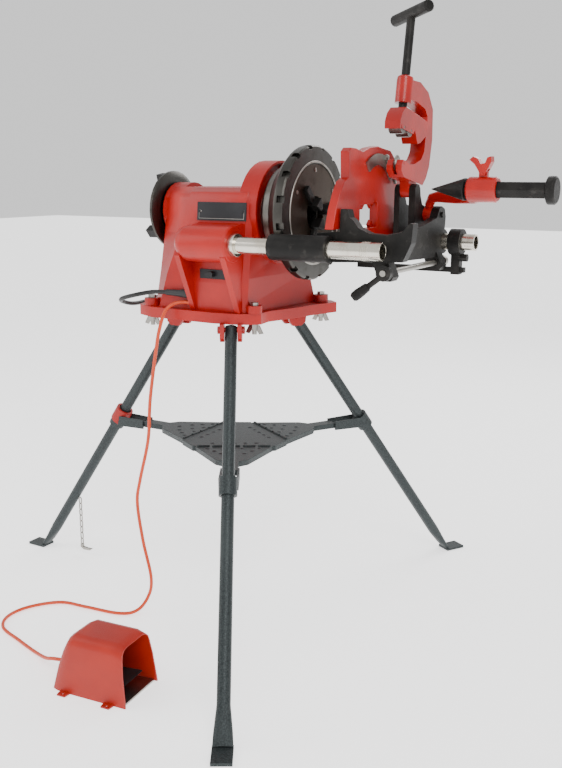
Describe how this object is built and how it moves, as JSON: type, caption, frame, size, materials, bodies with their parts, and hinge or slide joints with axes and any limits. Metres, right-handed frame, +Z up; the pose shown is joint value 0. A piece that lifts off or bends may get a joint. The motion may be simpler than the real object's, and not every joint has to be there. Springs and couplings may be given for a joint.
{
  "type": "pipe threading machine",
  "caption": "Powered pipe threading machine on a folding tripod, with chuck, sliding carriage, cutter, die head, reamer, tool tray and foot switch.",
  "frame": {"origin": "on the floor under the middle of the machine's bounding box", "axes": "+X along the spindle from the rear wheel to the chuck and tools, +Z up, -Y the operator's side"},
  "size_m": [1.3372, 1.1394, 1.2875],
  "materials": {
    "red_enamel": "glossy enamel over casting",
    "hammered_grey": "hammered grey paint",
    "dark_casting": "dark oiled casting",
    "machined_steel": "turned steel",
    "bright_nickel": "bright nickel plate",
    "blued_face": "browned steel",
    "black_plastic": "matt",
    "orange_shell": "satin paint",
    "orange_cord": "smooth sheath",
    "black_cord": "smooth sheath",
    "plate_black": "satin"
  },
  "bodies": {
    "stand_and_drive": {"stand_plate": "red_enamel", "drive_housing": "red_enamel", "motor": "black_plastic", "spindle_bearing_front": "machined_steel", "spindle_bearing_rear": "machined_steel", "name_plate": "plate_black", "switch_plate": "plate_black", "power_cord_gland": "black_plastic", "power_cord": "black_cord", "power_cord_hank": "black_cord", "power_plug": "black_plastic", "front_rail": "bright_nickel", "rear_rail": "bright_nickel", "lock_collar": "dark_casting", "rack_bar": "dark_casting", "hold_down_bolt_near_front": "machined_steel", "hold_down_bolt_far_front": "machined_steel", "hold_down_bolt_near_rear": "machined_steel", "hold_down_bolt_far_rear": "machined_steel", "foot_switch_hood": "orange_shell", "foot_switch_base": "machined_steel", "foot_switch_cord": "orange_cord"},
    "spindle": {"spindle_tube": "machined_steel", "drive_gear": "machined_steel", "chuck_body": "machined_steel", "chuck_face": "blued_face"},
    "switch_lever_body": {"switch_lever": "black_plastic"},
    "foot_pedal_body": {"foot_pedal": "black_plastic"},
    "leg_rear_body": {"leg_rear": "hammered_grey"},
    "leg_near_body": {"leg_near": "hammered_grey"},
    "leg_far_body": {"leg_far": "hammered_grey"},
    "leg_chain_body": {"leg_chain": "machined_steel"},
    "tray_centre_body": {"tray_centre": "hammered_grey"},
    "tray_wing_rear_body": {"tray_wing_rear": "hammered_grey"},
    "tray_wing_near_body": {"tray_wing_near": "hammered_grey"},
    "tray_wing_far_body": {"tray_wing_far": "hammered_grey"},
    "motor_pinion_body": {"motor_pinion": "machined_steel"},
    "hammer_wheel_body": {"hammer_wheel": "machined_steel"},
    "chuck_jaw_1_body": {"chuck_jaw_1": "dark_casting"},
    "chuck_jaw_2_body": {"chuck_jaw_2": "dark_casting"},
    "chuck_jaw_3_body": {"chuck_jaw_3": "dark_casting"},
    "rear_wheel_body": {"rear_wheel": "machined_steel"},
    "rear_jaw_1_body": {"rear_jaw_1": "dark_casting"},
    "rear_jaw_2_body": {"rear_jaw_2": "dark_casting"},
    "rear_jaw_3_body": {"rear_jaw_3": "dark_casting"},
    "carriage_body": {"carriage": "dark_casting"},
    "pinion_shaft_body": {"pinion_shaft": "machined_steel"},
    "carriage_lever_body": {"carriage_lever": "dark_casting"},
    "die_head_body": {"die_head": "red_enamel"},
    "die_lever_body": {"die_lever": "machined_steel"},
    "cutter_frame_body": {"cutter_frame": "red_enamel"},
    "cutter_wheel_body": {"cutter_wheel": "machined_steel"},
    "cutter_slide_body": {"cutter_slide": "red_enamel"},
    "cutter_roller_front_body": {"cutter_roller_front": "machined_steel"},
    "cutter_roller_back_body": {"cutter_roller_back": "machined_steel"},
    "feed_screw_body": {"feed_screw": "dark_casting"},
    "reamer_arm_body": {"reamer_arm": "red_enamel"},
    "reamer_bar_body": {"reamer_bar": "dark_casting"},
    "reamer_latch_body": {"reamer_latch": "red_enamel"}
  },
  "joints": [
    {"name": "leg_rear_fold", "type": "hinge", "parent": "stand_and_drive", "child": "leg_rear_body", "pos_m": [-0.16263, 0, 0.655], "axis": [0, -1, 0], "range_deg": [0, 31]},
    {"name": "leg_near_fold", "type": "hinge", "parent": "stand_and_drive", "child": "leg_near_body", "pos_m": [0.06043, -0.1262, 0.655], "axis": [0.8572, 0.515, 0], "range_deg": [0, 31]},
    {"name": "leg_far_fold", "type": "hinge", "parent": "stand_and_drive", "child": "leg_far_body", "pos_m": [0.06043, 0.1262, 0.655], "axis": [-0.8572, 0.515, 0], "range_deg": [0, 31]},
    {"name": "tray_lift", "type": "slide", "parent": "stand_and_drive", "child": "tray_centre_body", "axis": [0, 0, 1], "range_m": [0, 0.179]},
    {"name": "tray_wing_rear_fold", "type": "hinge", "parent": "tray_centre_body", "child": "tray_wing_rear_body", "pos_m": [-0.0979, 0, 0.378], "axis": [0, -1, 0], "range_deg": [0, 72.8]},
    {"name": "tray_wing_near_fold", "type": "hinge", "parent": "tray_centre_body", "child": "tray_wing_near_body", "pos_m": [0.02709, -0.07072, 0.378], "axis": [0.8572, 0.515, 0], "range_deg": [0, 72.8]},
    {"name": "tray_wing_far_fold", "type": "hinge", "parent": "tray_centre_body", "child": "tray_wing_far_body", "pos_m": [0.02709, 0.07072, 0.378], "axis": [-0.8572, 0.515, 0], "range_deg": [0, 72.8]},
    {"name": "spindle_spin", "type": "hinge", "parent": "stand_and_drive", "child": "spindle", "pos_m": [-0.0154, 0, 0.888], "axis": [1, 0, 0], "continuous": true},
    {"name": "motor_pinion_spin", "type": "hinge", "parent": "stand_and_drive", "child": "motor_pinion_body", "pos_m": [-0.0154, 0, 0.792], "axis": [1, 0, 0], "continuous": true},
    {"name": "hammer_wheel_turn", "type": "hinge", "parent": "spindle", "child": "hammer_wheel_body", "pos_m": [-0.0154, 0, 0.888], "axis": [1, 0, 0], "range_deg": [0, 90]},
    {"name": "chuck_jaw_1_travel", "type": "slide", "parent": "spindle", "child": "chuck_jaw_1_body", "axis": [0, -0.6561, 0.7547], "range_m": [0, 0.0242]},
    {"name": "chuck_jaw_2_travel", "type": "slide", "parent": "spindle", "child": "chuck_jaw_2_body", "axis": [0, -0.3256, -0.9455], "range_m": [0, 0.0242]},
    {"name": "chuck_jaw_3_travel", "type": "slide", "parent": "spindle", "child": "chuck_jaw_3_body", "axis": [0, 0.9816, 0.1908], "range_m": [0, 0.0242]},
    {"name": "rear_wheel_turn", "type": "hinge", "parent": "spindle", "child": "rear_wheel_body", "pos_m": [-0.0154, 0, 0.888], "axis": [1, 0, 0], "range_deg": [0, 60]},
    {"name": "rear_jaw_1_travel", "type": "slide", "parent": "spindle", "child": "rear_jaw_1_body", "axis": [0, 0.1736, -0.9848], "range_m": [0, 0.0352]},
    {"name": "rear_jaw_2_travel", "type": "slide", "parent": "spindle", "child": "rear_jaw_2_body", "axis": [0, 0.766, 0.6428], "range_m": [0, 0.0352]},
    {"name": "rear_jaw_3_travel", "type": "slide", "parent": "spindle", "child": "rear_jaw_3_body", "axis": [0, -0.9397, 0.342], "range_m": [0, 0.0352]},
    {"name": "carriage_slide", "type": "slide", "parent": "stand_and_drive", "child": "carriage_body", "axis": [1, 0, 0], "range_m": [-0.066, 0.01]},
    {"name": "pinion_shaft_turn", "type": "hinge", "parent": "carriage_body", "child": "pinion_shaft_body", "pos_m": [0.4026, 0, 0.79], "axis": [0, 1, 0], "range_deg": [-336, 52]},
    {"name": "carriage_lever_ratchet", "type": "hinge", "parent": "carriage_body", "child": "carriage_lever_body", "pos_m": [0.4026, -0.13, 0.79], "axis": [0, 1, 0], "range_deg": [-70, 40]},
    {"name": "die_head_swing", "type": "hinge", "parent": "carriage_body", "child": "die_head_body", "pos_m": [0.3046, 0.128, 0.862], "axis": [1, 0, 0], "range_deg": [-90, 0]},
    {"name": "die_lever_throw", "type": "hinge", "parent": "die_head_body", "child": "die_lever_body", "pos_m": [0.3046, 0.035, 0.92], "axis": [1, 0, 0], "range_deg": [-25, 25]},
    {"name": "cutter_swing", "type": "hinge", "parent": "carriage_body", "child": "cutter_frame_body", "pos_m": [0.3446, 0.093, 0.933], "axis": [1, 0, 0], "range_deg": [0, 90]},
    {"name": "cutter_feed", "type": "slide", "parent": "cutter_frame_body", "child": "cutter_slide_body", "axis": [0, -0.1736, -0.9848], "range_m": [0, 0.0242]},
    {"name": "feed_screw_turn", "type": "hinge", "parent": "cutter_slide_body", "child": "feed_screw_body", "pos_m": [0.3446, 0.07405, 1.17372], "axis": [0, -0.1736, -0.9848], "range_deg": [0, 2160]},
    {"name": "cutter_roller_front_spin", "type": "hinge", "parent": "cutter_slide_body", "child": "cutter_roller_front_body", "pos_m": [0.3446, 0.03635, 1.05496], "axis": [1, 0, 0], "continuous": true},
    {"name": "cutter_roller_back_spin", "type": "hinge", "parent": "cutter_slide_body", "child": "cutter_roller_back_body", "pos_m": [0.3446, 0.06885, 1.04923], "axis": [1, 0, 0], "continuous": true},
    {"name": "cutter_wheel_spin", "type": "hinge", "parent": "cutter_frame_body", "child": "cutter_wheel_body", "pos_m": [0.3446, 0.04105, 0.98661], "axis": [1, 0, 0], "continuous": true},
    {"name": "reamer_swing", "type": "hinge", "parent": "carriage_body", "child": "reamer_arm_body", "pos_m": [0.3781, 0.135, 0.885], "axis": [1, 0, 0], "range_deg": [-58, 22]},
    {"name": "reamer_bar_slide", "type": "slide", "parent": "reamer_arm_body", "child": "reamer_bar_body", "axis": [1, 0, 0], "range_m": [-0.085, 0]},
    {"name": "reamer_latch_turn", "type": "hinge", "parent": "reamer_arm_body", "child": "reamer_latch_body", "pos_m": [0.5322, 0.01095, 0.96635], "axis": [0, 1, 0], "range_deg": [-20, 20]},
    {"name": "switch_turn", "type": "hinge", "parent": "stand_and_drive", "child": "switch_lever_body", "pos_m": [0.0221, -0.1323, 0.7675], "axis": [0, 1, 0], "range_deg": [-28, 28]},
    {"name": "pedal_press", "type": "hinge", "parent": "stand_and_drive", "child": "foot_pedal_body", "pos_m": [-0.03829, -0.46309, 0.0205], "axis": [-0.1045, 0.9945, 0], "range_deg": [0, 8], "stiffness_Nm_per_rad": 1.2, "springref_deg": -8.59},
    {"name": "chain_swing", "type": "hinge", "parent": "leg_rear_body", "child": "leg_chain_body", "pos_m": [-0.4954, 0, 0.1528], "axis": [0, 1, 0], "range_deg": [-20, 20]}
  ],
  "couplings": [
    {"joint": "leg_near_fold", "follows": "leg_rear_fold", "ratio": 1},
    {"joint": "leg_far_fold", "follows": "leg_rear_fold", "ratio": 1},
    {"joint": "tray_lift", "follows": "leg_rear_fold", "m_per_rad": 0.33},
    {"joint": "tray_wing_rear_fold", "follows": "leg_rear_fold", "ratio": 2.34},
    {"joint": "tray_wing_near_fold", "follows": "leg_rear_fold", "ratio": 2.34},
    {"joint": "tray_wing_far_fold", "follows": "leg_rear_fold", "ratio": 2.34},
    {"joint": "motor_pinion_spin", "follows": "spindle_spin", "ratio": -3},
    {"joint": "chuck_jaw_1_travel", "follows": "hammer_wheel_turn", "m_per_rad": 0.01528},
    {"joint": "chuck_jaw_2_travel", "follows": "hammer_wheel_turn", "m_per_rad": 0.01528},
    {"joint": "chuck_jaw_3_travel", "follows": "hammer_wheel_turn", "m_per_rad": 0.01528},
    {"joint": "rear_jaw_1_travel", "follows": "rear_wheel_turn", "m_per_rad": 0.0334},
    {"joint": "rear_jaw_2_travel", "follows": "rear_wheel_turn", "m_per_rad": 0.0334},
    {"joint": "rear_jaw_3_travel", "follows": "rear_wheel_turn", "m_per_rad": 0.0334},
    {"joint": "pinion_shaft_turn", "follows": "carriage_slide", "rad_per_m": 88.496},
    {"joint": "cutter_feed", "follows": "feed_screw_turn", "m_per_rad": 0.00063662}
  ]
}
